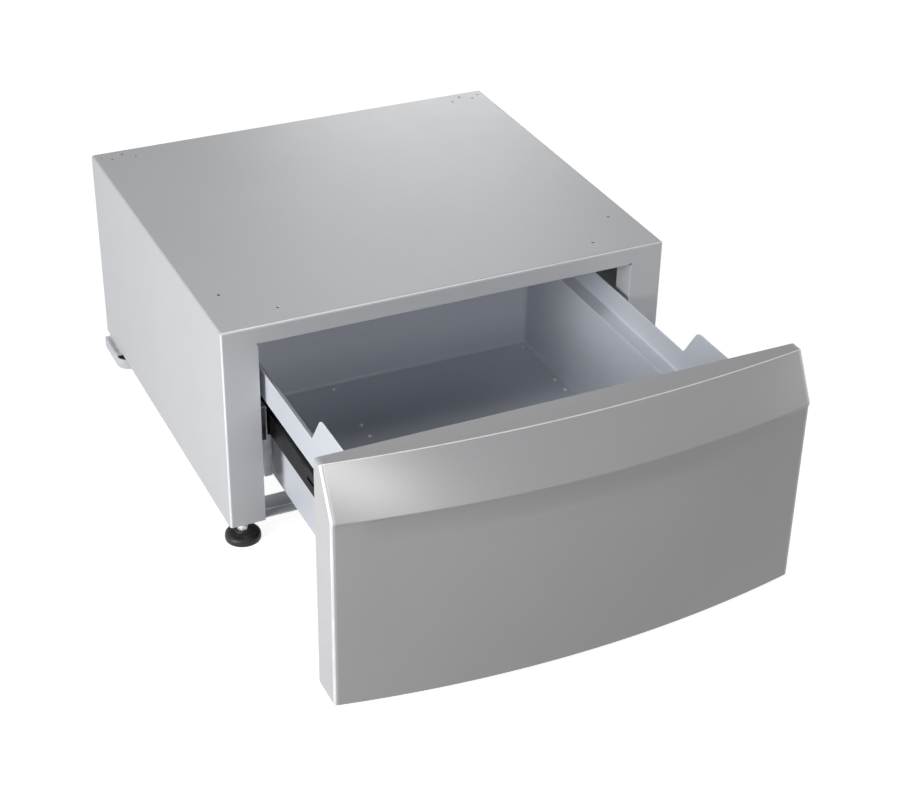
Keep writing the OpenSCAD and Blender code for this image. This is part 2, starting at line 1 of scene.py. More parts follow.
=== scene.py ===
# %% [markdown]
# # A laundry pedestal with its drawer part-way open
#
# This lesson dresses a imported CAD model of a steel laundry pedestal. The model gives every
# piece its true size and place. Here the sheet metal gets soft folded edges, the bowed front
# gets a smooth skin, the small hardware gets its fine detail, and each finish gets a
# procedural material. Everything is in metres: x to the right, y to the back, z up.

# %% Load the frame
import json
import math

import bpy
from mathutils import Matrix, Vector

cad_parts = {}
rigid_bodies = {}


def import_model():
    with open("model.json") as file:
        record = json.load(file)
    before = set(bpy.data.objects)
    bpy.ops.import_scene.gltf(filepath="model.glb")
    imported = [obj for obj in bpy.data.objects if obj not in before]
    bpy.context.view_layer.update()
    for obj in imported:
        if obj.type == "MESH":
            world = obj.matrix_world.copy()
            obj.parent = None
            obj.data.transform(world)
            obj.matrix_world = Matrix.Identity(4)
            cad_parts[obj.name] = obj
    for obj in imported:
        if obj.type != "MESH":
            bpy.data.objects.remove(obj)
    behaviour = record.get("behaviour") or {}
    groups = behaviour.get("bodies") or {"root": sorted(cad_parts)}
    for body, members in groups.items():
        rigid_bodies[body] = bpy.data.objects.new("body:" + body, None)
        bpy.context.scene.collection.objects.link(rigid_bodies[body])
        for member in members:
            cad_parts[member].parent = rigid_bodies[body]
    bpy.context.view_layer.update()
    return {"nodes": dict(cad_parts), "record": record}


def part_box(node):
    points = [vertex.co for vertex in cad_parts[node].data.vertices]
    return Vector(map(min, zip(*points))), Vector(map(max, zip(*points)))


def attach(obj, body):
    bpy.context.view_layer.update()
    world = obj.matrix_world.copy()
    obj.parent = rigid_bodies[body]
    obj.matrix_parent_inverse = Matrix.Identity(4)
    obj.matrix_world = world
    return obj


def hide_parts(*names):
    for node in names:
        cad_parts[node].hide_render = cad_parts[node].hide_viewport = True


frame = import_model()
record = frame["record"]
BODY_OF = {node: body for body, nodes in record["behaviour"]["bodies"].items() for node in nodes}
SLOT_OF = {entry["node"]: entry["material_slot"] for entry in record["subparts"]}
MM = 0.001

# %% [markdown]
# ## The camera
#
# The photograph was taken with a long lens from the front left, well above the object. A
# camera could be placed by eye, but edges drift then. Its place and turn were solved from the
# cabinet's corners instead, so they are written here as numbers: where it stands, and which
# way its own right, up and back point.

# %% Camera
CAMERA_PLACE = Vector((-1.00493, -2.19587, 1.62206))
CAMERA_RIGHT = Vector((0.90564, -0.42374, 0.01608))
CAMERA_UP = Vector((0.21190, 0.48508, 0.84841))
CAMERA_BACK = Vector((-0.36731, -0.76494, 0.52910))
CAMERA_LENS = 74.97
SENSOR_WIDTH = 36.0

camera_data = bpy.data.cameras.new("photo_camera")
camera_data.lens = CAMERA_LENS
camera_data.sensor_width = SENSOR_WIDTH
camera = bpy.data.objects.new("photo_camera", camera_data)
bpy.context.scene.collection.objects.link(camera)
turn = camera.matrix_world.to_3x3()
for column, axis in enumerate((CAMERA_RIGHT, CAMERA_UP, CAMERA_BACK)):
    for row in range(3):
        turn[row][column] = axis[row]
camera.matrix_world = turn.to_4x4()
camera.location = CAMERA_PLACE
bpy.context.scene.camera = camera
bpy.context.scene.view_settings.view_transform = "Standard"
print("camera at", tuple(camera.location), "lens", camera_data.lens)

# %% [markdown]
# ## Studio light
#
# Silver paint shows where its light comes from, so the lamps are large and soft. One could
# light such an object evenly from above, but the photograph has a bright left side and a
# front that darkens to the right. So three lamps stand on the left, and the bow of the front
# turns out of their light towards the right. The slope above the ridge mirrors a small
# panel high in front. A panel low at the back right makes the sheen on the far end of the
# deck. One overhead and one on the right keep the rest from going black. Their powers were
# found by comparing the render's brightness with the photograph's.

# %% Lamps
MIDDLE = (0.0, 0.0, 0.2)
# Name: place, width, height, power in watts.
LAMPS = {
    "left_softbox": ((-2.9, -0.6, 1.4), 1.8, 1.8, 21.0),
    "left_panel": ((-3.0, -1.1, 1.2), 1.0, 1.0, 32.0),
    "low_left_panel": ((-2.6, -0.75, 0.5), 0.8, 0.7, 21.0),
    "front_left_panel": ((-0.35, -3.3, 1.8), 0.7, 0.6, 23.0),
    "back_low_panel": ((1.6, 3.5, 1.25), 1.1, 0.7, 20.0),
    "overhead_panel": ((-0.2, -0.9, 3.1), 1.2, 1.0, 17.5),
    "right_panel": ((3.4, -2.0, 1.0), 0.9, 0.9, 18.0),
}


def hang_softbox(name, place, width, height, power):
    """An area lamp of a given size at a place, turned to face the object's middle."""
    data = bpy.data.lights.new(name, "AREA")
    data.shape = "RECTANGLE"
    data.size, data.size_y, data.energy = width, height, power
    lamp = bpy.data.objects.new(name, data)
    bpy.context.scene.collection.objects.link(lamp)
    lamp.location = place
    aim = Vector(MIDDLE) - Vector(place)
    lamp.rotation_euler = aim.to_track_quat("-Z", "Y").to_euler()
    return lamp


for lamp_name, lamp_values in LAMPS.items():
    hang_softbox(lamp_name, *lamp_values)
print("lamps", {name: values[-1] for name, values in LAMPS.items()})

# %% [markdown]
# ## World and floor
#
# The backdrop is plain white to the camera and to reflections, but as a lamp it is weak, so
# that the softboxes still shape the object. This switch is made with the Light Path node. The
# floor is a real matt plane, because the object's shadow has to fall on something, with a
# glow of its own that only seen rays meet.

# %% Rays that see the backdrop
AMBIENT = 0.04
AMBIENT_COLOUR = (0.84, 0.90, 1.0, 1.0)
FLOOR_COLOUR = (0.42, 0.42, 0.42, 1.0)
FLOOR_GLOW = 0.90


def seen_ray(tree):
    """A value that is 1 for what the camera, a reflection or a clear body sees."""
    path = tree.nodes.new("ShaderNodeLightPath")
    seen = path.outputs["Is Camera Ray"]
    for ray in ("Is Glossy Ray", "Is Transmission Ray"):
        either = tree.nodes.new("ShaderNodeMath")
        either.operation = "MAXIMUM"
        tree.links.new(seen, either.inputs[0])
        tree.links.new(path.outputs[ray], either.inputs[1])
        seen = either.outputs[0]
    return seen


# %% World
world = bpy.data.worlds.new("studio")
bpy.context.scene.world = world
world.use_nodes = True
sky = world.node_tree
sky.nodes.clear()
sky_out = sky.nodes.new("ShaderNodeOutputWorld")
ambient = sky.nodes.new("ShaderNodeBackground")
ambient.inputs["Color"].default_value = AMBIENT_COLOUR
ambient.inputs["Strength"].default_value = AMBIENT
backdrop = sky.nodes.new("ShaderNodeBackground")
backdrop.inputs["Color"].default_value = (1.0, 1.0, 1.0, 1.0)
backdrop.inputs["Strength"].default_value = 1.0
sky_mix = sky.nodes.new("ShaderNodeMixShader")
sky.links.new(seen_ray(sky), sky_mix.inputs[0])
sky.links.new(ambient.outputs[0], sky_mix.inputs[1])
sky.links.new(backdrop.outputs[0], sky_mix.inputs[2])
sky.links.new(sky_mix.outputs[0], sky_out.inputs["Surface"])
print("ambient strength", AMBIENT)

# %% Floor
FLOOR_SIZE = 30.0
bpy.ops.mesh.primitive_plane_add(size=FLOOR_SIZE, location=(0, 0, 0))
floor = bpy.context.object
floor.name = "studio_floor"
floor_paint = bpy.data.materials.new("studio_floor")
floor_paint.use_nodes = True
ground = floor_paint.node_tree
ground.nodes.clear()
ground_out = ground.nodes.new("ShaderNodeOutputMaterial")
matt = ground.nodes.new("ShaderNodeBsdfDiffuse")
matt.inputs["Color"].default_value = FLOOR_COLOUR
glow = ground.nodes.new("ShaderNodeEmission")
glow.inputs["Strength"].default_value = FLOOR_GLOW
lit = ground.nodes.new("ShaderNodeAddShader")
ground_mix = ground.nodes.new("ShaderNodeMixShader")
ground.links.new(matt.outputs[0], lit.inputs[0])
ground.links.new(glow.outputs[0], lit.inputs[1])
ground.links.new(seen_ray(ground), ground_mix.inputs[0])
ground.links.new(matt.outputs[0], ground_mix.inputs[1])
ground.links.new(lit.outputs[0], ground_mix.inputs[2])
ground.links.new(ground_mix.outputs[0], ground_out.inputs["Surface"])
floor.data.materials.append(floor_paint)
print("floor", tuple(round(d, 2) for d in floor.dimensions))

# %% [markdown]
# ## Effects that the finishes share
#
# Real paint is never one flat colour. Silver paint has fine flakes and a faint orange peel,
# galvanised sheet has a spangle of crystals, handled edges wear, and trays collect fine
# scuffs. The light colour along edges and folds is partly a painted highlight, where the
# rounds and the bin's folds catch the light. Such effects could be drawn as images, but
# procedural node groups stay sharp at any distance and fit any piece. Each group reads Object
# coordinates in metres, is built once, and is placed in a material with that material's own
# values.
#
# The photograph has a thin bright line along the rounds at the front of the cabinet and of the
# drawer. They are too narrow to mirror the lamps fully in a picture of this size, so a node
# group paints a highlight there by lightening the paint. It knows a round by the way its
# normal points, part-way between the directions of two flat faces. Part of that line is
# therefore a painted highlight, and not reflected.

# %% Tools for building groups
def new_group(name, inputs, outputs):
    """A shader node group with named sockets: numbers or colours in, values or colours out."""
    group = bpy.data.node_groups.new(name, "ShaderNodeTree")
    for label, value in inputs.items():
        kind = "NodeSocketColor" if isinstance(value, tuple) else "NodeSocketFloat"
        group.interface.new_socket(label, in_out="INPUT", socket_type=kind).default_value = value
    for label, kind in outputs.items():
        group.interface.new_socket(label, in_out="OUTPUT", socket_type="NodeSocket" + kind)
    return group, group.nodes.new("NodeGroupInput"), group.nodes.new("NodeGroupOutput")


def plug(tree, source, target):
    """Links a socket, or writes a plain number or colour on the target."""
    if hasattr(source, "is_output"):
        tree.links.new(source, target)
    else:
        target.default_value = source


def math_node(tree, operation, first, second=0.0, clamp=False):
    node = tree.nodes.new("ShaderNodeMath")
    node.operation, node.use_clamp = operation, clamp
    plug(tree, first, node.inputs[0])
    plug(tree, second, node.inputs[1])
    return node.outputs[0]


def stretched(tree, value, low, high, to_low, to_high):
    """A value's span from low to high laid over another span, and held inside it."""
    node = tree.nodes.new("ShaderNodeMapRange")
    for socket, number in zip(("Value", "From Min", "From Max", "To Min", "To Max"),
                              (value, low, high, to_low, to_high)):
        plug(tree, number, node.inputs[socket])
    return node.outputs["Result"]


def blended(tree, factor, first, second):
    """One colour mixed towards another."""
    node = tree.nodes.new("ShaderNodeMix")
    node.data_type = "RGBA"
    plug(tree, factor, node.inputs["Factor"])
    plug(tree, first, node.inputs["A"])
    plug(tree, second, node.inputs["B"])
    return node.outputs["Result"]


def toned(tree, colour, brightness):
    """A colour made lighter or darker by a value around 1."""
    node = tree.nodes.new("ShaderNodeHueSaturation")
    plug(tree, colour, node.inputs["Color"])
    plug(tree, brightness, node.inputs["Value"])
    return node.outputs["Color"]


def place_in_object(tree, squeeze=(1.0, 1.0, 1.0)):
    """Object coordinates, squeezed along an axis to draw a pattern out along the others."""
    coordinates = tree.nodes.new("ShaderNodeTexCoord").outputs["Object"]
    mapping = tree.nodes.new("ShaderNodeMapping")
    mapping.inputs["Scale"].default_value = squeeze
    tree.links.new(coordinates, mapping.inputs["Vector"])
    return mapping.outputs["Vector"]


def noise(tree, vector, scale, detail=3.0, roughness=0.5):
    node = tree.nodes.new("ShaderNodeTexNoise")
    tree.links.new(vector, node.inputs["Vector"])
    plug(tree, scale, node.inputs["Scale"])
    node.inputs["Detail"].default_value = detail
    node.inputs["Roughness"].default_value = roughness
    return node.outputs["Fac"]


def between(tree, value, start, full, fade, end):
    """1 where a value lies from full to fade, falling to 0 at start and at end."""
    return math_node(tree, "MULTIPLY", stretched(tree, value, start, full, 0.0, 1.0),
                     stretched(tree, value, fade, end, 1.0, 0.0))


print("group tools ready")

# %% Flake and orange peel of silver paint
flake_group, given, made = new_group(
    "silver_flake_and_peel",
    {"Colour": (0.6, 0.6, 0.6, 1.0), "Flake Scale": 1500.0, "Flake Contrast": 0.10,
     "Peel Scale": 260.0, "Roughness": 0.4, "Roughness Spread": 0.06},
    {"Colour": "Color", "Roughness": "Float", "Height": "Float"})
here = place_in_object(flake_group)
flakes = flake_group.nodes.new("ShaderNodeTexVoronoi")
flake_group.links.new(here, flakes.inputs["Vector"])
flake_group.links.new(given.outputs["Flake Scale"], flakes.inputs["Scale"])
flake_tone = flake_group.nodes.new("ShaderNodeSeparateColor")
flake_group.links.new(flakes.outputs["Color"], flake_tone.inputs["Color"])
glint = math_node(flake_group, "SUBTRACT", flake_tone.outputs["Red"], 0.5)
glint = math_node(flake_group, "MULTIPLY", glint, given.outputs["Flake Contrast"])
drift = stretched(flake_group, noise(flake_group, here, 5.0, 2.0), 0.3, 0.7, 0.985, 1.015)
flake_group.links.new(
    toned(flake_group, given.outputs["Colour"], math_node(flake_group, "ADD", drift, glint)),
    made.inputs["Colour"])
spread = stretched(flake_group, noise(flake_group, here, 22.0, 4.0), 0.3, 0.7, -0.5, 0.5)
spread = math_node(flake_group, "MULTIPLY", spread, given.outputs["Roughness Spread"])
flake_group.links.new(math_node(flake_group, "ADD", given.outputs["Roughness"], spread, True),
                      made.inputs["Roughness"])
flake_group.links.new(noise(flake_group, here, given.outputs["Peel Scale"], 2.0),
                      made.inputs["Height"])
print("group", flake_group.name, len(flake_group.nodes), "nodes")

# %% Wear and painted highlight along edges
edge_group, given, made = new_group(
    "edge_wear_and_highlight", {"Width": 0.0012, "Amount": 0.5, "Break Up": 160.0}, {"Mask": "Float"})
here = place_in_object(edge_group)
rounded_edge = edge_group.nodes.new("ShaderNodeBevel")
rounded_edge.samples = 4
edge_group.links.new(given.outputs["Width"], rounded_edge.inputs["Radius"])
facing = edge_group.nodes.new("ShaderNodeNewGeometry")
agree = edge_group.nodes.new("ShaderNodeVectorMath")
agree.operation = "DOT_PRODUCT"
edge_group.links.new(rounded_edge.outputs["Normal"], agree.inputs[0])
edge_group.links.new(facing.outputs["Normal"], agree.inputs[1])
# Lighter near edges and folds: partly wear, partly a painted highlight where rounds catch light.
near_edge = stretched(edge_group, agree.outputs["Value"], 0.995, 0.86, 0.0, 1.0)
patchy = stretched(edge_group, noise(edge_group, here, given.outputs["Break Up"], 5.0, 0.65),
                   0.40, 0.56, 0.45, 1.0)
edge_group.links.new(
    math_node(edge_group, "MULTIPLY", math_node(edge_group, "MULTIPLY", near_edge, patchy),
              given.outputs["Amount"], True),
    made.inputs["Mask"])
print("group", edge_group.name, len(edge_group.nodes), "nodes")

# %% Painted highlight along the rolled edges
painted_highlight_group, given, made = new_group("painted_edge_highlight", {"Amount": 0.6}, {"Mask": "Float"})
here = place_in_object(painted_highlight_group)
aim = painted_highlight_group.nodes.new("ShaderNodeSeparateXYZ")
painted_highlight_group.links.new(painted_highlight_group.nodes.new("ShaderNodeNewGeometry").outputs["Normal"],
                     aim.inputs[0])
top_roll = between(painted_highlight_group, aim.outputs["Z"], 0.62, 0.68, 0.95, 0.98)
sideways = math_node(painted_highlight_group, "ABSOLUTE", aim.outputs["X"])
end_roll = between(painted_highlight_group, sideways, 0.28, 0.45, 0.88, 0.96)
to_front = stretched(painted_highlight_group, aim.outputs["Y"], -0.3, -0.15, 1.0, 0.0)
rolled = math_node(painted_highlight_group, "MULTIPLY", to_front,
                   math_node(painted_highlight_group, "MAXIMUM", top_roll, end_roll))
# Noise breaks the painted highlight up along its length.
highlight_break_up = stretched(painted_highlight_group, noise(painted_highlight_group, here, 40.0, 4.0), 0.3, 0.6, 0.75, 1.0)
rolled = math_node(painted_highlight_group, "MULTIPLY", rolled, highlight_break_up)
painted_highlight_group.links.new(math_node(painted_highlight_group, "MULTIPLY", rolled, given.outputs["Amount"], True),
                     made.inputs["Mask"])
print("group", painted_highlight_group.name, len(painted_highlight_group.nodes), "nodes")

# %% Fine scuffs and dust
scuff_group, given, made = new_group(
    "scuffs_and_dust", {"Scuffs": 0.3, "Dust": 0.2}, {"Scuff Mask": "Float", "Dust Mask": "Float"})
scratches = None
for squeeze in ((1.0, 26.0, 26.0), (24.0, 1.0, 24.0)):
    lines = noise(scuff_group, place_in_object(scuff_group, squeeze), 30.0, 6.0, 0.7)
    lines = stretched(scuff_group, lines, 0.62, 0.70, 0.0, 1.0)
    scratches = lines if scratches is None else math_node(scuff_group, "MAXIMUM", scratches, lines)
here = place_in_object(scuff_group)
handled = stretched(scuff_group, noise(scuff_group, here, 7.0, 3.0), 0.48, 0.66, 0.0, 1.0)
scratches = math_node(scuff_group, "MULTIPLY", scratches, handled)
scuff_group.links.new(math_node(scuff_group, "MULTIPLY", scratches, given.outputs["Scuffs"], True),
                      made.inputs["Scuff Mask"])
upward = scuff_group.nodes.new("ShaderNodeSeparateXYZ")
scuff_group.links.new(scuff_group.nodes.new("ShaderNodeNewGeometry").outputs["Normal"],
                      upward.inputs[0])
settled = stretched(scuff_group, upward.outputs["Z"], 0.55, 1.0, 0.0, 1.0)
specks = stretched(scuff_group, noise(scuff_group, here, 90.0, 8.0, 0.7), 0.50, 0.74, 0.0, 1.0)
settled = math_node(scuff_group, "MULTIPLY", settled, specks)
scuff_group.links.new(math_node(scuff_group, "MULTIPLY", settled, given.outputs["Dust"], True),
                      made.inputs["Dust Mask"])
print("group", scuff_group.name, len(scuff_group.nodes), "nodes")

# %% Spangle of galvanised sheet
spangle_group, given, made = new_group(
    "zinc_spangle",
    {"Light": (0.62, 0.63, 0.65, 1.0), "Dark": (0.46, 0.47, 0.50, 1.0), "Crystal Scale": 95.0},
    {"Colour": "Color", "Roughness": "Float", "Height": "Float"})
here = place_in_object(spangle_group)
crystals = spangle_group.nodes.new("ShaderNodeTexVoronoi")
spangle_group.links.new(here, crystals.inputs["Vector"])
spangle_group.links.new(given.outputs["Crystal Scale"], crystals.inputs["Scale"])
crystal_tone = spangle_group.nodes.new("ShaderNodeSeparateColor")
spangle_group.links.new(crystals.outputs["Color"], crystal_tone.inputs["Color"])
mottled = math_node(spangle_group, "MULTIPLY", noise(spangle_group, here, 240.0, 4.0), 0.4)
mottled = math_node(spangle_group, "ADD", mottled,
                    math_node(spangle_group, "MULTIPLY", crystal_tone.outputs["Green"], 0.6))
spangle_group.links.new(
    blended(spangle_group, mottled, given.outputs["Dark"], given.outputs["Light"]),
    made.inputs["Colour"])
spangle_group.links.new(stretched(spangle_group, mottled, 0.1, 0.9, 0.36, 0.54),
                        made.inputs["Roughness"])
spangle_group.links.new(crystals.outputs["Distance"], made.inputs["Height"])
print("group", spangle_group.name, len(spangle_group.nodes), "nodes")

# %% Drawn and turned bright metal
drawn_group, given, made = new_group(
    "drawn_metal", {"Colour": (0.7, 0.7, 0.7, 1.0), "Roughness": 0.28, "Grain Scale": 420.0},
    {"Colour": "Color", "Roughness": "Float", "Height": "Float"})
grain = noise(drawn_group, place_in_object(drawn_group, (1.0, 0.06, 1.0)),
              given.outputs["Grain Scale"], 4.0)
stain = noise(drawn_group, place_in_object(drawn_group), 55.0, 3.0)
tone = math_node(drawn_group, "ADD", stretched(drawn_group, grain, 0.3, 0.7, -0.06, 0.06),
                 stretched(drawn_group, stain, 0.3, 0.7, 0.92, 1.04))
drawn_group.links.new(toned(drawn_group, given.outputs["Colour"], tone), made.inputs["Colour"])
drawn_group.links.new(
    math_node(drawn_group, "ADD", given.outputs["Roughness"],
              stretched(drawn_group, grain, 0.3, 0.7, -0.07, 0.09), True),
    made.inputs["Roughness"])
drawn_group.links.new(grain, made.inputs["Height"])
print("group", drawn_group.name, len(drawn_group.nodes), "nodes")

# %% [markdown]
# ## The painted finishes
#
# The cabinet and the drawer front are sprayed silver over steel. Silver paint is partly metal:
# it has a body colour, a soft sheen from its flakes and a faint gloss on top. One could mix a
# metal and a plain paint shader, but a small Metallic value on one shader does the same, and
# exports cleanly. Near an edge the paint is made lighter, partly where wear thins it and the
# steel shows a little, and partly as a painted highlight along the rounds and folds. Where
# dust settles, the sheen is duller.

# %% Painted metal
def use_group(tree, group, **values):
    """Places a node group in a material and sets the inputs that are named."""
    node = tree.nodes.new("ShaderNodeGroup")
    node.node_tree = group
    for label, value in values.items():
        node.inputs[label.replace("_", " ")].default_value = value
    return node


def fresh_material(name, metallic, specular=0.5):
    """A material with its constants on the shader's own sockets."""
    material = bpy.data.materials.new(name)
    material.use_nodes = True
    shader = material.node_tree.nodes["Principled BSDF"]
    shader.inputs["Metallic"].default_value = metallic
    shader.inputs["Specular IOR Level"].default_value = specular
    return material, material.node_tree, shader


def bumped(tree, shader, height, strength, distance):
    bump = tree.nodes.new("ShaderNodeBump")
    bump.inputs["Strength"].default_value = strength
    bump.inputs["Distance"].default_value = distance
    tree.links.new(height, bump.inputs["Height"])
    tree.links.new(bump.outputs["Normal"], shader.inputs["Normal"])


RUBBED_PAINT_AND_HIGHLIGHT = (0.80, 0.80, 0.81, 1.0)
EDGE_LIGHT = (0.95, 0.95, 0.97, 1.0)
HOUSE_DUST = (0.70, 0.69, 0.67, 1.0)


def silver_paint(name, colour, metallic, roughness, flake=0.05, peel=200.0,
                 bump=0.015 * MM, edge=0.35, wear_and_highlight_colour=RUBBED_PAINT_AND_HIGHLIGHT, scuffs=0.15, dust=0.10,
                 specular=0.5, spread=0.06, edge_width=1.2 * MM, edge_light=0.0):
    """A sprayed finish with flakes, orange peel, edges lightened by wear and a painted highlight,
    scuffs and dust.
    """
    material, tree, shader = fresh_material(name, metallic, specular)
    paint = use_group(tree, flake_group, Colour=colour, Flake_Contrast=flake, Peel_Scale=peel,
                      Roughness=roughness, Roughness_Spread=spread)
    wear = use_group(tree, edge_group, Amount=edge, Width=edge_width)
    marks = use_group(tree, scuff_group, Scuffs=scuffs, Dust=dust)
    # The edge mask lightens edges partly as wear and partly as a painted highlight; scuffs share
    # that light colour.
    shade = blended(tree, wear.outputs["Mask"], paint.outputs["Colour"], wear_and_highlight_colour)
    shade = blended(tree, marks.outputs["Scuff Mask"], shade, wear_and_highlight_colour)
    if edge_light:
        # Painted highlight along the front-facing rounds.
        rolled = use_group(tree, painted_highlight_group, Amount=edge_light)
        shade = blended(tree, rolled.outputs["Mask"], shade, EDGE_LIGHT)
    shade = blended(tree, marks.outputs["Dust Mask"], shade, HOUSE_DUST)
    tree.links.new(shade, shader.inputs["Base Color"])
    dulled = math_node(tree, "MULTIPLY", marks.outputs["Dust Mask"], 0.25)
    tree.links.new(math_node(tree, "ADD", paint.outputs["Roughness"], dulled, True),
                   shader.inputs["Roughness"])
    bumped(tree, shader, paint.outputs["Height"], 0.6, bump)
    return material


FINISHES = {
    "cabinet_paint": silver_paint("cabinet_paint", (0.56, 0.57, 0.59, 1.0), 0.10, 0.38,
                                  specular=0.28, spread=0.025, edge=0.5, edge_light=0.9),
    "front_paint": silver_paint("front_paint", (0.39, 0.39, 0.397, 1.0), 0.07, 0.288,
                                bump=0.01 * MM, scuffs=0.05, dust=0.04, spread=0.012,
                                edge=0.4, edge_light=0.95),
    "cap_plastic": silver_paint("cap_plastic", (0.50, 0.50, 0.51, 1.0), 0.10, 0.36, peel=420.0,
                                edge_light=0.9),
    # Wide, light edge mask on the bin: painted highlights along its folds and hems, with some
    # wear.
    "bin_paint": silver_paint("bin_paint", (0.62, 0.645, 0.70, 1.0), 0.05, 0.46, flake=0.04,
                              peel=300.0, bump=0.03 * MM, edge=0.8, edge_width=2.8 * MM,
                              scuffs=0.25, dust=0.15, wear_and_highlight_colour=(0.88, 0.90, 0.95, 1.0)),
    "slide_black": silver_paint("slide_black", (0.010, 0.010, 0.012, 1.0), 0.0, 0.42,
                                flake=0.3, edge=0.30, wear_and_highlight_colour=(0.16, 0.16, 0.17, 1.0), scuffs=0.25,
                                dust=0.03, specular=0.12),
}
print("painted finishes", sorted(FINISHES))

# %% [markdown]
# ## Bare metal and rubber
#
# The hidden sheet metal is galvanised, so it shows zinc crystals. Screws, nuts and studs are
# zinc plated and drawn or turned, which leaves a fine grain. The foot pads are moulded, with a
# slightly uneven matt skin. These share the groups above, apart from the rubber, whose soft
# mottling is made here.

# %% Bare metal
RUBBED_ZINC = (0.74, 0.75, 0.77, 1.0)
SCRATCHED_ZINC = (0.36, 0.36, 0.37, 1.0)
TARNISH = (0.30, 0.29, 0.27, 1.0)


def galvanised(name, light, dark, scale):
    material, tree, shader = fresh_material(name, 0.75)
    zinc = use_group(tree, spangle_group, Light=light, Dark=dark, Crystal_Scale=scale)
    wear = use_group(tree, edge_group, Amount=0.4)
    marks = use_group(tree, scuff_group, Scuffs=0.3, Dust=0.15)
    shade = blended(tree, wear.outputs["Mask"], zinc.outputs["Colour"], RUBBED_ZINC)
    shade = blended(tree, marks.outputs["Scuff Mask"], shade, SCRATCHED_ZINC)
    tree.links.new(shade, shader.inputs["Base Color"])
    tree.links.new(zinc.outputs["Roughness"], shader.inputs["Roughness"])
    bumped(tree, shader, zinc.outputs["Height"], 0.25, 0.03 * MM)
    return material


def bright_metal(name, colour, roughness, grain, tarnish=0.25, metallic=1.0):
    material, tree, shader = fresh_material(name, metallic)
    metal = use_group(tree, drawn_group, Colour=colour, Roughness=roughness, Grain_Scale=grain)
    marks = use_group(tree, scuff_group, Scuffs=tarnish, Dust=0.1)
    shade = blended(tree, marks.outputs["Scuff Mask"], metal.outputs["Colour"], TARNISH)
    tree.links.new(shade, shader.inputs["Base Color"])
    tree.links.new(metal.outputs["Roughness"], shader.inputs["Roughness"])
    bumped(tree, shader, metal.outputs["Height"], 0.3, 0.02 * MM)
    return material


FINISHES["galvanised_steel"] = galvanised(
    "galvanised_steel", (0.60, 0.61, 0.63, 1.0), (0.44, 0.45, 0.48, 1.0), 95.0)
FINISHES["zinc_plate"] = bright_metal("zinc_plate", (0.93, 0.93, 0.94, 1.0), 0.30, 420.0,
                                    0.05, 0.4)
FINISHES["cage_steel"] = bright_metal("cage_steel", (0.58, 0.54, 0.44, 1.0), 0.34, 300.0)
FINISHES["ball_steel"] = bright_metal("ball_steel", (0.80, 0.80, 0.82, 1.0), 0.10, 900.0, 0.1)
print("metal finishes ready")

# %% Rubber
BLACK_RUBBER = (0.014, 0.013, 0.014, 1.0)
CHALKED_RUBBER = (0.045, 0.044, 0.045, 1.0)
DUST_ON_RUBBER = (0.16, 0.155, 0.15, 1.0)


def moulded_rubber(name, colour, chalk):
    material, tree, shader = fresh_material(name, 0.0, specular=0.4)
    here = place_in_object(tree)
    mottle = noise(tree, here, 140.0, 5.0, 0.6)
    marks = use_group(tree, scuff_group, Scuffs=0.25, Dust=0.35)
    shade = blended(tree, stretched(tree, mottle, 0.45, 0.75, 0.0, 0.35), colour, chalk)
    shade = blended(tree, marks.outputs["Dust Mask"], shade, DUST_ON_RUBBER)
    tree.links.new(shade, shader.inputs["Base Color"])
    tree.links.new(stretched(tree, mottle, 0.3, 0.7, 0.36, 0.52), shader.inputs["Roughness"])
    bumped(tree, shader, mottle, 0.4, 0.06 * MM)
    return material


FINISHES["rubber"] = moulded_rubber("rubber", BLACK_RUBBER, CHALKED_RUBBER)
print("finishes", sorted(FINISHES))

# %% [markdown]
# ## Softening the sheet metal
#
# Cut and folded steel has no razor edges: a shear leaves a tiny round, and paint rounds it
# more. The CAD solids are sharp, and come as loose triangles. They could be used as they are,
# but then no edge would catch the light. So each one is copied, its triangles are joined into
# whole flat faces, and a Bevel modifier rounds the sharp edges by weight. A fold between two
# broad faces gets the wide round of a bend. The edge of a cut, next to a face no broader than
# the sheet is thick, gets a small one. The rims of small holes stay as they are, and so do
# the shapes of the bin's tray, the balls and their cages, the foot pads, the screws and the
# bumpers, which are only shaded smooth. Each copy replaces its CAD node and rides on the
# same body.

# %% Helpers for pieces
JOIN_GAP = 0.004 * MM
SEAM_GAP = 0.002 * MM
FLAT_ANGLE = math.radians(0.4)
SHADE_ANGLE = 34
ROUND_SHADE_ANGLE = 40


def deselect_all():
    if bpy.context.object and bpy.context.object.mode != "OBJECT":
        bpy.ops.object.mode_set(mode="OBJECT")
    bpy.ops.object.select_all(action="DESELECT")


def take_up(piece):
    """Makes one piece the only selected and active one."""
    deselect_all()
    piece.select_set(True)
    bpy.context.view_layer.objects.active = piece


def apply_modifier(piece, kind, **settings):
    take_up(piece)
    modifier = piece.modifiers.new(kind.lower(), kind)
    for label, value in settings.items():
        setattr(modifier, label, value)
    bpy.ops.object.modifier_apply(modifier=modifier.name)


def smooth(piece, degrees):
    take_up(piece)
    bpy.ops.object.shade_smooth_by_angle(angle=math.radians(degrees))


def settle(piece):
    """Writes a piece's place, turn and scale into its mesh."""
    take_up(piece)
    bpy.ops.object.transform_apply(location=True, rotation=True, scale=True)


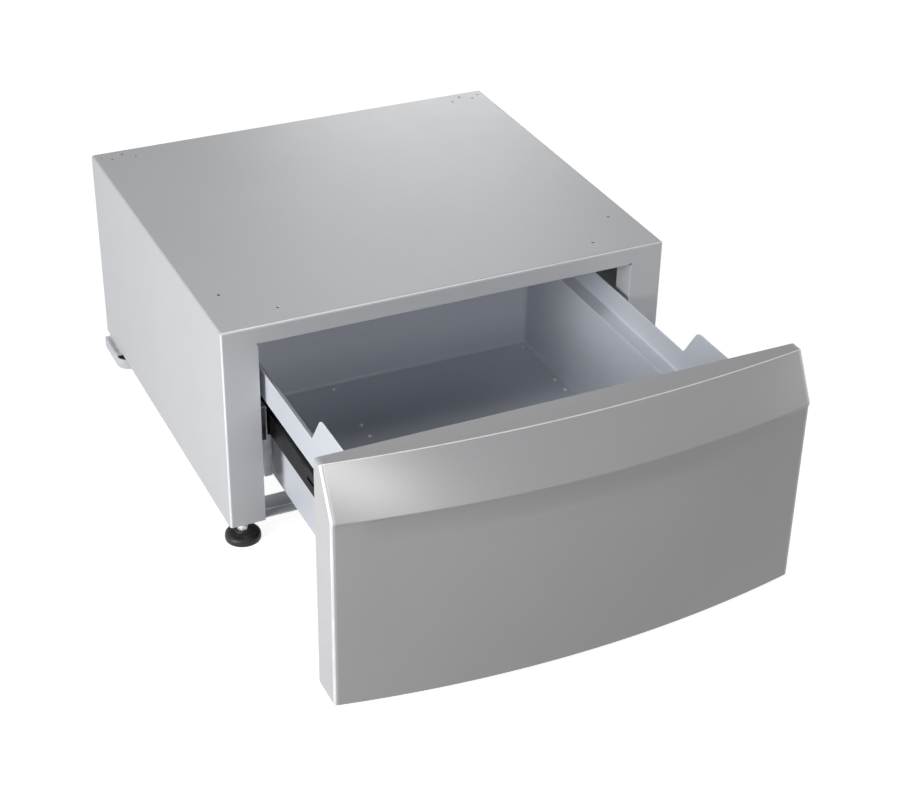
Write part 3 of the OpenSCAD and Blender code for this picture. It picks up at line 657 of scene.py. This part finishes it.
def merged_copy(node, name):
    """A copy of a CAD node's mesh, with its loose triangles joined."""
    piece = bpy.data.objects.new(name, frame["nodes"][node].data.copy())
    bpy.context.scene.collection.objects.link(piece)
    take_up(piece)
    bpy.ops.object.mode_set(mode="EDIT")
    bpy.ops.mesh.select_all(action="SELECT")
    bpy.ops.mesh.remove_doubles(threshold=JOIN_GAP)
    bpy.ops.mesh.select_all(action="SELECT")
    bpy.ops.mesh.dissolve_limited(angle_limit=FLAT_ANGLE)
    bpy.ops.object.mode_set(mode="OBJECT")
    return piece


def even_shading(piece):
    """Lets the broad flat faces decide the shading of the rounds between them."""
    apply_modifier(piece, "WEIGHTED_NORMAL", mode="FACE_AREA", weight=100, keep_sharp=True)


def close_tube(piece):
    """Joins a rolled grid's seam, fills its open ends and turns its faces outwards."""
    take_up(piece)
    bpy.ops.object.mode_set(mode="EDIT")
    bpy.ops.mesh.select_all(action="SELECT")
    bpy.ops.mesh.remove_doubles(threshold=SEAM_GAP)
    bpy.ops.mesh.select_all(action="SELECT")
    bpy.ops.mesh.fill_holes(sides=0)
    bpy.ops.mesh.select_all(action="SELECT")
    bpy.ops.mesh.normals_make_consistent(inside=False)
    bpy.ops.object.mode_set(mode="OBJECT")


def faces_of_edges(mesh):
    """For each edge, the faces that meet there."""
    meeting = {edge.key: [] for edge in mesh.edges}
    for face in mesh.polygons:
        for key in face.edge_keys:
            meeting[key].append(face)
    return meeting


def weigh_edges(piece, cut_share):
    """Gives each sharp edge its bevel weight: 1 on a fold, a share of that on a cut edge."""
    mesh = piece.data
    meeting = faces_of_edges(mesh)
    weights = mesh.attributes.new("bevel_weight_edge", "FLOAT", "EDGE")
    folds = cuts = 0
    for edge in mesh.edges:
        faces = meeting[edge.key]
        ends = [mesh.vertices[index].co for index in edge.vertices]
        length = (ends[0] - ends[1]).length
        if len(faces) != 2 or min(face.area for face in faces) < FACET_AREA:
            continue
        if faces[0].normal.angle(faces[1].normal, 0.0) < SHARP_ANGLE:
            continue
        narrowest = min(face.area / length for face in faces)
        is_fold = narrowest > SHEET_THICKEST
        weights.data[edge.index].value = 1.0 if is_fold else cut_share
        folds, cuts = folds + is_fold, cuts + (not is_fold)
    return folds, cuts


def dress(piece, node, slot=None):
    """Lets a finished piece stand for a CAD node, on its body and in its finish."""
    slot = slot or SLOT_OF[node]
    piece.data.materials.clear()
    piece.data.materials.append(FINISHES[slot])
    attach(piece, BODY_OF[node])
    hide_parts(node)
    return piece


deselect_all()
print("helpers ready")

# %% Softened sheet metal and hardware
SHARP_ANGLE = math.radians(38)
FACET_AREA = 3 * MM * MM
SHEET_THICKEST = 2.6 * MM
CORNERS = ("front_left", "front_right", "rear_left", "rear_right")
# Radius in millimetres that the folds and the cut edges of each CAD piece get, if any.
EDGE_ROUND = {
    "cabinet_shell": (0.5, 0.2), "back_panel": (0.8, 0.2),
    "deck_stiffener_front": (0.8, 0.3), "deck_stiffener_rear": (0.8, 0.3),
    "front_crossbar": (0.9, 0.35), "rear_crossbar": (0.9, 0.35),
    "left_slide_bracket": (0.22, 0.09), "right_slide_bracket": (0.22, 0.09),
    "left_rear_bracket": (0.5, 0.24), "right_rear_bracket": (0.5, 0.24),
    "bin_tray": None, "left_bin_rim": (0.3, 0.18), "right_bin_rim": (0.3, 0.18),
    "bin_front_wall": (0.5, 0.3), "floor_stiffener": (0.3, 0.12),
    "drawer_front_back_plate": (0.6, 0.3),
    "left_front_stiffener": (0.6, 0.3), "right_front_stiffener": (0.6, 0.3),
    "left_cabinet_slide": (0.3, 0.18), "right_cabinet_slide": (0.3, 0.18),
    "left_middle_slide": (0.25, 0.2), "right_middle_slide": (0.25, 0.2),
    "left_drawer_slide": (0.3, 0.18), "right_drawer_slide": (0.3, 0.18),
    "foot_weld_nuts": (0.5, 0.3), "foot_lock_nuts": (0.6, 0.4),
    "back_panel_screws": None, "slide_bracket_screws": None,
    "drawer_slide_screws": None, "drawer_front_screws": None,
    "drawer_bumpers": None,
    "left_outer_ball_cage": None, "right_outer_ball_cage": None,
    "left_inner_ball_cage": None, "right_inner_ball_cage": None,
    "left_outer_balls": None, "right_outer_balls": None,
    "left_inner_balls": None, "right_inner_balls": None,
}
for corner in CORNERS:
    EDGE_ROUND[corner + "_foot_plate"] = (0.5, 0.3)
    EDGE_ROUND[corner + "_foot_pad"] = None

for node, rounds in EDGE_ROUND.items():
    piece = merged_copy(node, node + "_soft")
    if rounds:
        fold, cut = rounds
        counted = weigh_edges(piece, cut / fold)
        apply_modifier(piece, "BEVEL", width=fold * MM, segments=3, limit_method="WEIGHT",
                       use_clamp_overlap=False)
        print(node, "folds and cut edges", counted, "faces", len(piece.data.polygons))
    smooth(piece, SHADE_ANGLE)
    even_shading(piece)
    dress(piece, node)
print(len(EDGE_ROUND), "copied pieces")

# %% [markdown]
# ## The bowed front's skin
#
# The drawer front is one pressed sheet: a flat top, a slanted band that swells to a ridge, a
# finger recess hollowed out under the ridge, and a tall face down to the foot. Its section
# changes along the width because every line bows by its own amount. Extruding one section
# would lose that, so a flat grid is added and each of its points is laid on the section for
# its own place along the width. The rules and sizes are those of the CAD model, with more
# points, so the reflections run smoothly. Solidify then gives the sheet its thickness.

# %% Section of the bowed front
HALF_WIDTH = 343 * MM
CAP_WIDE = 5.75 * MM
SKIN_HALF = HALF_WIDTH - CAP_WIDE
SKIN_THICK = 1.5 * MM
FRONT_BACK_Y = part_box("drawer_front_back_plate")[1][1]
FRONT_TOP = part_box("drawer_front_skin")[1][2]
FRONT_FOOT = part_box("drawer_front_skin")[0][2]
RIDGE_Z = FRONT_TOP - 65.5 * MM
SCOOP_TOP, SCOOP_FOOT = RIDGE_Z - 5 * MM, RIDGE_Z - 47 * MM
# Depth at mid width and sag towards each end, for the top, the ridge and the face.
TOP_BOW, RIDGE_BOW, FACE_BOW = (42.7, 25.7), (90.5, 38.3), (84.7, 34.8)
RECESS_DEEP, RECESS_HALF, RECESS_CURVE = 14 * MM, 300 * MM, 1.7
TOP_ROUND, RIDGE_ROUND, FOOT_ROUND = 2.5 * MM, 2.0 * MM, 1.5 * MM
SMALLEST_ROUND = 0.1 * MM
print("front: back at y", round(FRONT_BACK_Y, 4), "top", round(FRONT_TOP, 4),
      "foot", round(FRONT_FOOT, 4))


def bowed(x, depth_and_sag):
    """Depth of a bowed line at x: a circular arc through its middle and its ends."""
    depth, sag = (value * MM for value in depth_and_sag)
    radius = (HALF_WIDTH ** 2 + sag ** 2) / (2 * sag)
    return depth - radius + math.sqrt(radius ** 2 - x ** 2)


def rounded_corner(before, corner, after, radius, steps):
    """Points that round a corner of a path."""
    before, corner, after = Vector(before), Vector(corner), Vector(after)
    first, second = (before - corner).normalized(), (after - corner).normalized()
    half = first.angle(second) / 2
    middle = corner + (first + second).normalized() * radius / math.sin(half)
    start = corner + first * radius / math.tan(half) - middle
    end = corner + second * radius / math.tan(half) - middle
    points = []
    for step in range(steps + 1):
        share = step / steps
        points.append(middle + (start * (1 - share) + end * share).normalized() * radius)
    return points


def front_outline(x, scoop_steps):
    """The front's corners at x, from the top at the back to the foot, and each one's round."""
    face = bowed(x, FACE_BOW)
    deep = RECESS_DEEP * max(0.0, 1 - (x / RECESS_HALF) ** 2)
    corners = [((0.0, FRONT_TOP), 0.0), ((bowed(x, TOP_BOW), FRONT_TOP), TOP_ROUND),
               ((bowed(x, RIDGE_BOW), RIDGE_Z), RIDGE_ROUND), ((face - deep, SCOOP_TOP), 0.0)]
    for step in range(1, scoop_steps + 1):
        share = step / scoop_steps
        corners.append(((face - deep * (1 - share ** RECESS_CURVE),
                         SCOOP_TOP + (SCOOP_FOOT - SCOOP_TOP) * share), 0.0))
    return corners + [((face, FRONT_FOOT), FOOT_ROUND), ((0.0, FRONT_FOOT), 0.0)]


def drawn_in(points, distance):
    """A path moved to its right side by a distance, with its corners kept square."""
    moved = []
    last = len(points) - 1
    for index, point in enumerate(points):
        before = (points[max(index, 1)] - points[max(index, 1) - 1]).normalized()
        after = (points[min(index + 1, last)] - points[min(index + 1, last) - 1]).normalized()
        across = Vector((after.y, -after.x))
        middle = (Vector((before.y, -before.x)) + across).normalized()
        moved.append(point + middle * distance / middle.dot(across))
    return moved


def front_section(x, inset=0.0, scoop_steps=14, corner_steps=6):
    """The front's rounded section at x as (forward, up), drawn in by an inset."""
    corners = front_outline(x, scoop_steps)
    points = drawn_in([Vector(point) for point, _ in corners], inset)
    section = [points[0]]
    for index in range(1, len(points) - 1):
        radius = corners[index][1]
        if radius:
            section += rounded_corner(points[index - 1], points[index], points[index + 1],
                                      max(radius - inset, SMALLEST_ROUND), corner_steps)
        else:
            section.append(points[index])
    return section + [points[-1]]


def lay_grid(name, rows):
    """A quad grid with its points laid on rows of points, each row as long as the others."""
    across, along = len(rows[0]), len(rows)
    bpy.ops.mesh.primitive_grid_add(x_subdivisions=across - 1, y_subdivisions=along - 1, size=1)
    piece = bpy.context.object
    piece.name = piece.data.name = name
    for index, vertex in enumerate(piece.data.vertices):
        vertex.co = rows[index // across][index % across]
    return piece


def at_width(x, section):
    """A section's points in the frame, at a place along the width."""
    return [Vector((x, FRONT_BACK_Y - point[0], point[1])) for point in section]


# %% Skin
SKIN_STEPS = 110
BEFORE_THE_FACE = Vector((0, -1, 0.1))
deselect_all()
skin_rows = []
for step in range(SKIN_STEPS + 1):
    x = -SKIN_HALF + 2 * SKIN_HALF * step / SKIN_STEPS
    skin_rows.append(at_width(x, front_section(x)))
skin = lay_grid("drawer_front_sheet", skin_rows)
middle_face = min(skin.data.polygons, key=lambda face: (face.center - BEFORE_THE_FACE).length)
if middle_face.normal.y > 0:
    take_up(skin)
    bpy.ops.object.mode_set(mode="EDIT")
    bpy.ops.mesh.select_all(action="SELECT")
    bpy.ops.mesh.flip_normals()
    bpy.ops.object.mode_set(mode="OBJECT")
apply_modifier(skin, "SOLIDIFY", thickness=SKIN_THICK, offset=-1.0, use_even_offset=True)
smooth(skin, SHADE_ANGLE)
dress(skin, "drawer_front_skin")
print("skin faces", len(skin.data.polygons))

# %% [markdown]
# ## End caps
#
# A moulded cap closes each end of the pressed sheet. Seen from the side it has the sheet's
# outline, and its outer edge is rolled over in a small quarter round that shows in the
# photograph as a bright upright line, which the cap's finish also paints in as a highlight.
# The cap is lofted: the same section is repeated in rings that shrink as they turn the quarter
# round, and the two ends are filled.

# %% Caps
CAP_ROUND = 4 * MM
CAP_STEPS = 8
CAP_SCOOP_STEPS = 4


def cap_ring(side, x, inset):
    """The front's section at x as a closed ring of points, drawn in by an inset."""
    ring = at_width(side * x, front_section(x, inset, CAP_SCOOP_STEPS))
    return ring + [ring[0].copy()]


def make_cap(side, node):
    """Lofts one end cap from rings that turn a quarter round."""
    rings = [cap_ring(side, SKIN_HALF, 0.0)]
    for step in range(CAP_STEPS + 1):
        angle = math.pi / 2 * step / CAP_STEPS
        x = HALF_WIDTH - CAP_ROUND + CAP_ROUND * math.sin(angle)
        rings.append(cap_ring(side, x, CAP_ROUND * (1 - math.cos(angle))))
    deselect_all()
    cap = lay_grid(node + "_moulding", rings)
    close_tube(cap)
    smooth(cap, SHADE_ANGLE)
    even_shading(cap)
    return dress(cap, node)


for side, node in ((-1, "left_end_cap"), (1, "right_end_cap")):
    cap = make_cap(side, node)
    print(node, "faces", len(cap.data.polygons))

# %% [markdown]
# ## Threaded feet
#
# Each foot is a zinc-plated stud with a real thread and a hexagon collar to turn it by. The
# pad is moulded round its lower end. A screw modifier could wind the thread, but its ends are
# ragged. So a grid is rolled into a tube instead, and each of its points is pulled in or out
# by how far it has gone round and up, which makes one clean helix. The collar is a
# six-sided cylinder with bevelled edges.

# %% Threaded studs
STUD_R, THREAD_ROOT, THREAD_PITCH = 5.0 * MM, 4.25 * MM, 1.5 * MM
THREAD_ROUND, THREAD_ROWS = 24, 6
THREAD_STEEP = 1.25
PLAIN_END, COLLAR_HIGH, COLLAR_FLATS = 8 * MM, 5 * MM, 14 * MM
COLLAR_ROUND = 0.5 * MM


def thread_ring(centre, z, plain):
    """One turn of points round the stud at a height, pulled in to the thread's root."""
    ring = []
    for step in range(THREAD_ROUND + 1):
        turned = (step % THREAD_ROUND) / THREAD_ROUND
        climb = (z / THREAD_PITCH - turned) % 1.0
        cut = 0.0 if plain else 1 - min(1.0, THREAD_STEEP * abs(2 * climb - 1))
        radius = STUD_R - (STUD_R - THREAD_ROOT) * cut
        angle = 2 * math.pi * turned
        ring.append(Vector((centre.x + radius * math.cos(angle),
                            centre.y + radius * math.sin(angle), z)))
    return ring


def make_stud(node):
    """Models one threaded stud and its collar in the CAD stud's place."""
    low, high = (Vector(corner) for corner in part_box(node))
    centre = (low + high) / 2
    thread_foot = low.z + PLAIN_END + COLLAR_HIGH
    rows = [thread_ring(centre, low.z, True), thread_ring(centre, thread_foot, True)]
    turns = int((high.z - thread_foot) / THREAD_PITCH * THREAD_ROWS)
    for step in range(1, turns + 1):
        z = thread_foot + (high.z - thread_foot) * step / turns
        rows.append(thread_ring(centre, z, step == turns))
    deselect_all()
    stud = lay_grid(node + "_threaded", rows)
    close_tube(stud)
    bpy.ops.mesh.primitive_cylinder_add(
        vertices=6, radius=COLLAR_FLATS / math.sqrt(3), depth=COLLAR_HIGH,
        rotation=(0, 0, math.radians(30)),
        location=(centre.x, centre.y, low.z + PLAIN_END + COLLAR_HIGH / 2))
    collar = bpy.context.object
    settle(collar)
    apply_modifier(collar, "BEVEL", width=COLLAR_ROUND, segments=3)
    take_up(stud)
    collar.select_set(True)
    bpy.ops.object.join()
    smooth(stud, ROUND_SHADE_ANGLE)
    return dress(stud, node)


for corner in CORNERS:
    stud = make_stud(corner + "_foot_stud")
print("stud faces", len(stud.data.polygons))

# %% [markdown]
# ## Blind rivets
#
# Nine blind rivets hold the strips under the drawer's floor. Seen from above each is a shallow
# polished dome with a dimple, where the drawn pin broke off inside it. The dome is the top of a
# sphere cut off at the floor. The dimple is the faces near its pole, inset and sunk. One
# rivet is modelled, and the others are copies with meshes of their own, joined as one set.

# %% Floor rivets
RIVET_R, RIVET_HIGH = 3.4 * MM, 2.0 * MM
DIMPLE_R, DIMPLE_RIM, DIMPLE_WALL, DIMPLE_DEEP = 1.25 * MM, 0.12 * MM, 0.18 * MM, 0.7 * MM
NEAR_TOP = 0.01 * MM
sphere_r = (RIVET_R ** 2 + RIVET_HIGH ** 2) / (2 * RIVET_HIGH)
rivet_low, rivet_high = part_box("floor_rivets")
floor_top = rivet_low[2]
rivet_points = frame["nodes"]["floor_rivets"].data.vertices
places = sorted({(round(point.co.x, 4), round(point.co.y, 4)) for point in rivet_points
                 if point.co.z > rivet_high[2] - NEAR_TOP})
deselect_all()
bpy.ops.mesh.primitive_uv_sphere_add(
    segments=32, ring_count=24, radius=sphere_r,
    location=(places[0][0], places[0][1], floor_top + RIVET_HIGH - sphere_r))
rivet = bpy.context.object
rivet.name = rivet.data.name = "floor_rivets_domed"
settle(rivet)
bpy.ops.object.mode_set(mode="EDIT")
bpy.ops.mesh.select_all(action="SELECT")
bpy.ops.mesh.bisect(plane_co=(0, 0, floor_top), plane_no=(0, 0, 1), use_fill=True,
                    clear_inner=True)
bpy.ops.object.mode_set(mode="OBJECT")
for face in rivet.data.polygons:
    off = Vector((face.center.x - places[0][0], face.center.y - places[0][1]))
    face.select = off.length < DIMPLE_R and face.center.z > floor_top + RIVET_HIGH / 2
bpy.ops.object.mode_set(mode="EDIT")
bpy.ops.mesh.select_mode(type="FACE")
bpy.ops.mesh.inset(thickness=DIMPLE_RIM, depth=0.0)
bpy.ops.mesh.inset(thickness=DIMPLE_WALL, depth=-DIMPLE_DEEP)
bpy.ops.object.mode_set(mode="OBJECT")
smooth(rivet, ROUND_SHADE_ANGLE)
for x, y in places[1:]:
    copy = bpy.data.objects.new("floor_rivet_copy", rivet.data.copy())
    bpy.context.scene.collection.objects.link(copy)
    copy.location = (x - places[0][0], y - places[0][1], 0.0)
    settle(copy)
take_up(rivet)
for copy in bpy.data.objects:
    if copy.name.startswith("floor_rivet_copy"):
        copy.select_set(True)
bpy.ops.object.join()
dress(rivet, "floor_rivets")
print("rivets", len(places), "faces", len(rivet.data.polygons))

# %% [markdown]
# ## Finishes for the CAD nodes
#
# By now a dressed piece stands for every CAD node. The nodes get their finishes as well, so
# that one whose piece was left out would still show in the right paint.

# %% Finish the CAD nodes
for node, thing in frame["nodes"].items():
    thing.data.materials.clear()
    thing.data.materials.append(FINISHES[SLOT_OF[node]])
